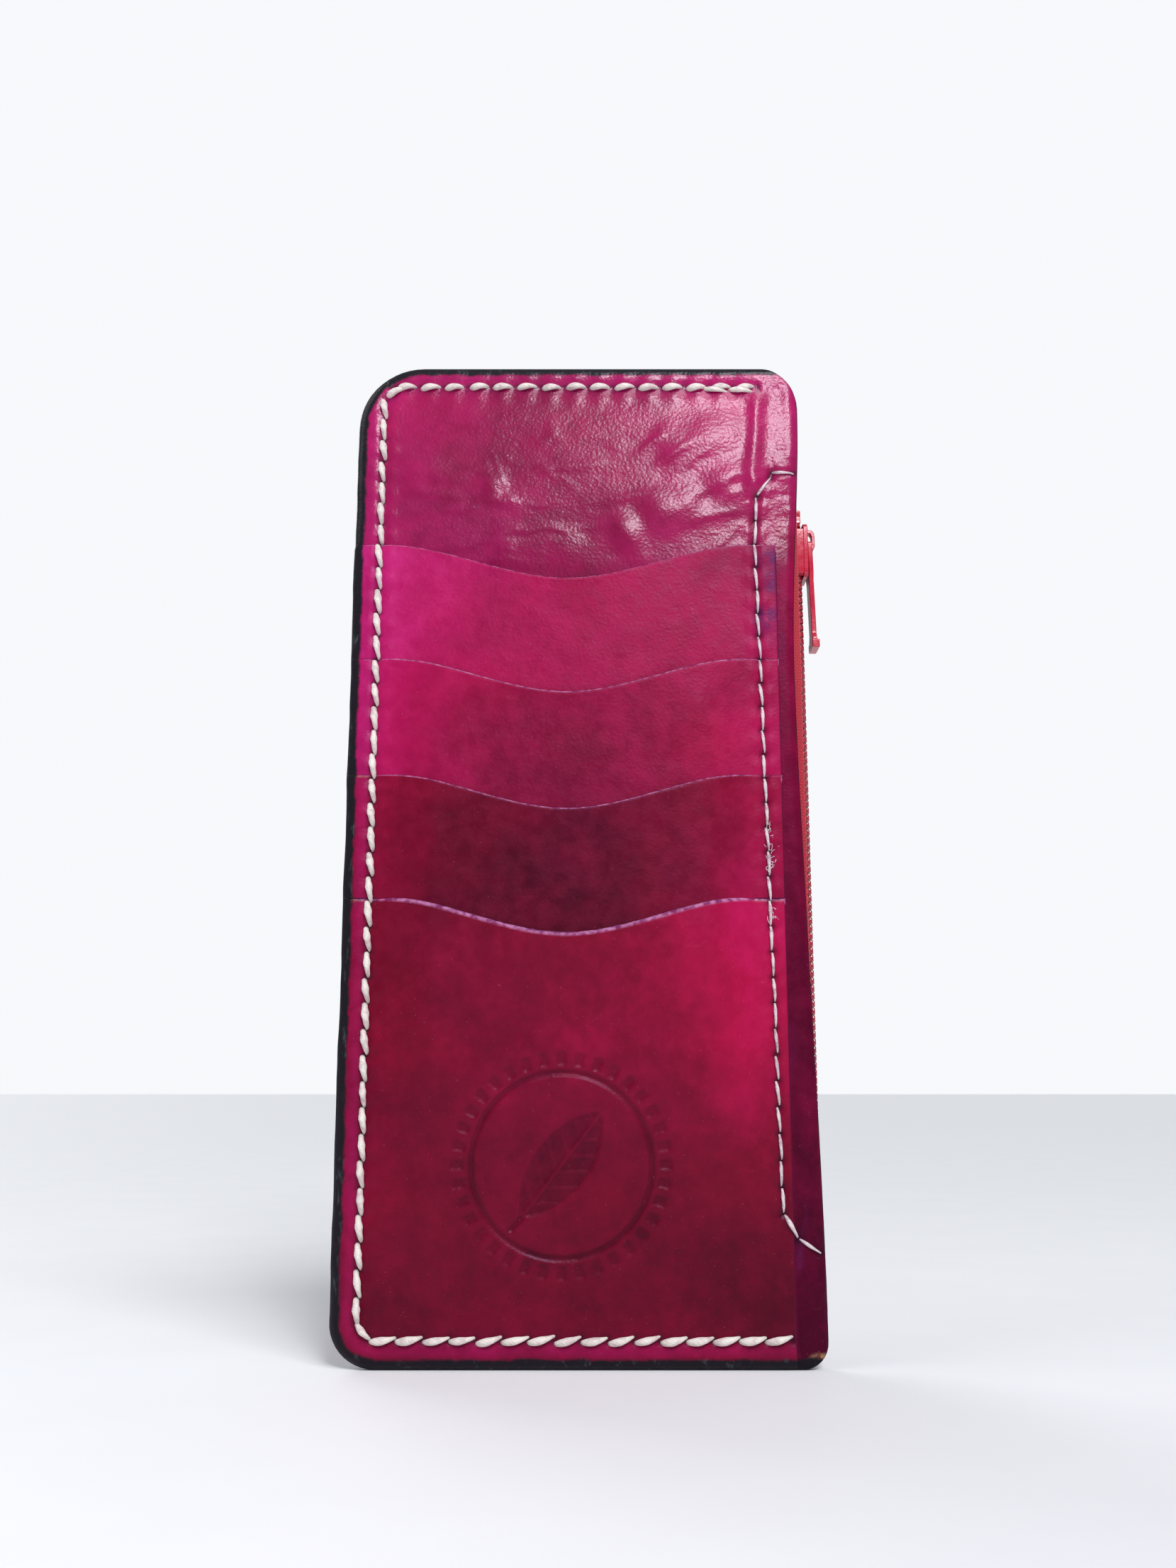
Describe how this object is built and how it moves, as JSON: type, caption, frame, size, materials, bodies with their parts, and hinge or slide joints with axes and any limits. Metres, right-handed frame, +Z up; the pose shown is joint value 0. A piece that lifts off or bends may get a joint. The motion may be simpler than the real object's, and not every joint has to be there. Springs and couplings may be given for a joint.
{
  "type": "zippered pouch",
  "caption": "Slim hand-stitched leather pouch with stacked scalloped card pockets on the front and a side-zipped compartment behind them.",
  "frame": {"origin": "middle of the bounding box, at the bottom edge of the leather", "axes": "+Z up the pouch towards the top edge, -Y out of the pocket face, +X towards the zipped edge"},
  "size_m": [0.0774, 0.0152, 0.162],
  "materials": {
    "front_leather": "dyed, glossy, creased",
    "back_leather": "dyed, glossy",
    "pocket_leather": "dyed, glossy, black painted outer edges",
    "waxed_thread": "waxed, twisted",
    "fine_thread": "waxed, twisted",
    "zipper_tape": "woven polyester",
    "zipper_coil": "dyed nylon",
    "zipper_stop": "painted",
    "slider_paint": "gloss paint"
  },
  "bodies": {
    "root": {"front_panel": "front_leather", "back_panel": "back_leather", "card_pocket_1": "pocket_leather", "card_pocket_2": "pocket_leather", "card_pocket_3": "pocket_leather", "card_pocket_4": "pocket_leather", "edge_thread": "waxed_thread", "zip_seam_thread_front": "fine_thread", "zip_seam_thread_back": "fine_thread", "pocket_1_base_thread": "fine_thread", "pocket_2_base_thread": "fine_thread", "pocket_3_base_thread": "fine_thread", "zipper_tape_front": "zipper_tape", "zipper_tape_back": "zipper_tape", "zipper_coil_front": "zipper_coil", "zipper_coil_back": "zipper_coil", "coil_cord_front": "zipper_tape", "coil_cord_back": "zipper_tape", "zipper_top_stop_front": "zipper_stop", "zipper_top_stop_back": "zipper_stop", "zipper_bottom_stop": "zipper_stop"},
    "slider": {"slider_body": "slider_paint"},
    "pull": {"pull_tab": "slider_paint"}
  },
  "joints": [
    {"name": "slider_slide", "type": "slide", "parent": "root", "child": "slider", "axis": [0, 0, 1], "range_m": [-0.0975, 0]},
    {"name": "pull_swing", "type": "hinge", "parent": "slider", "child": "pull", "pos_m": [0.03768, 0.00178, 0.13145], "axis": [0, -1, 0], "range_deg": [0, 170]}
  ]
}
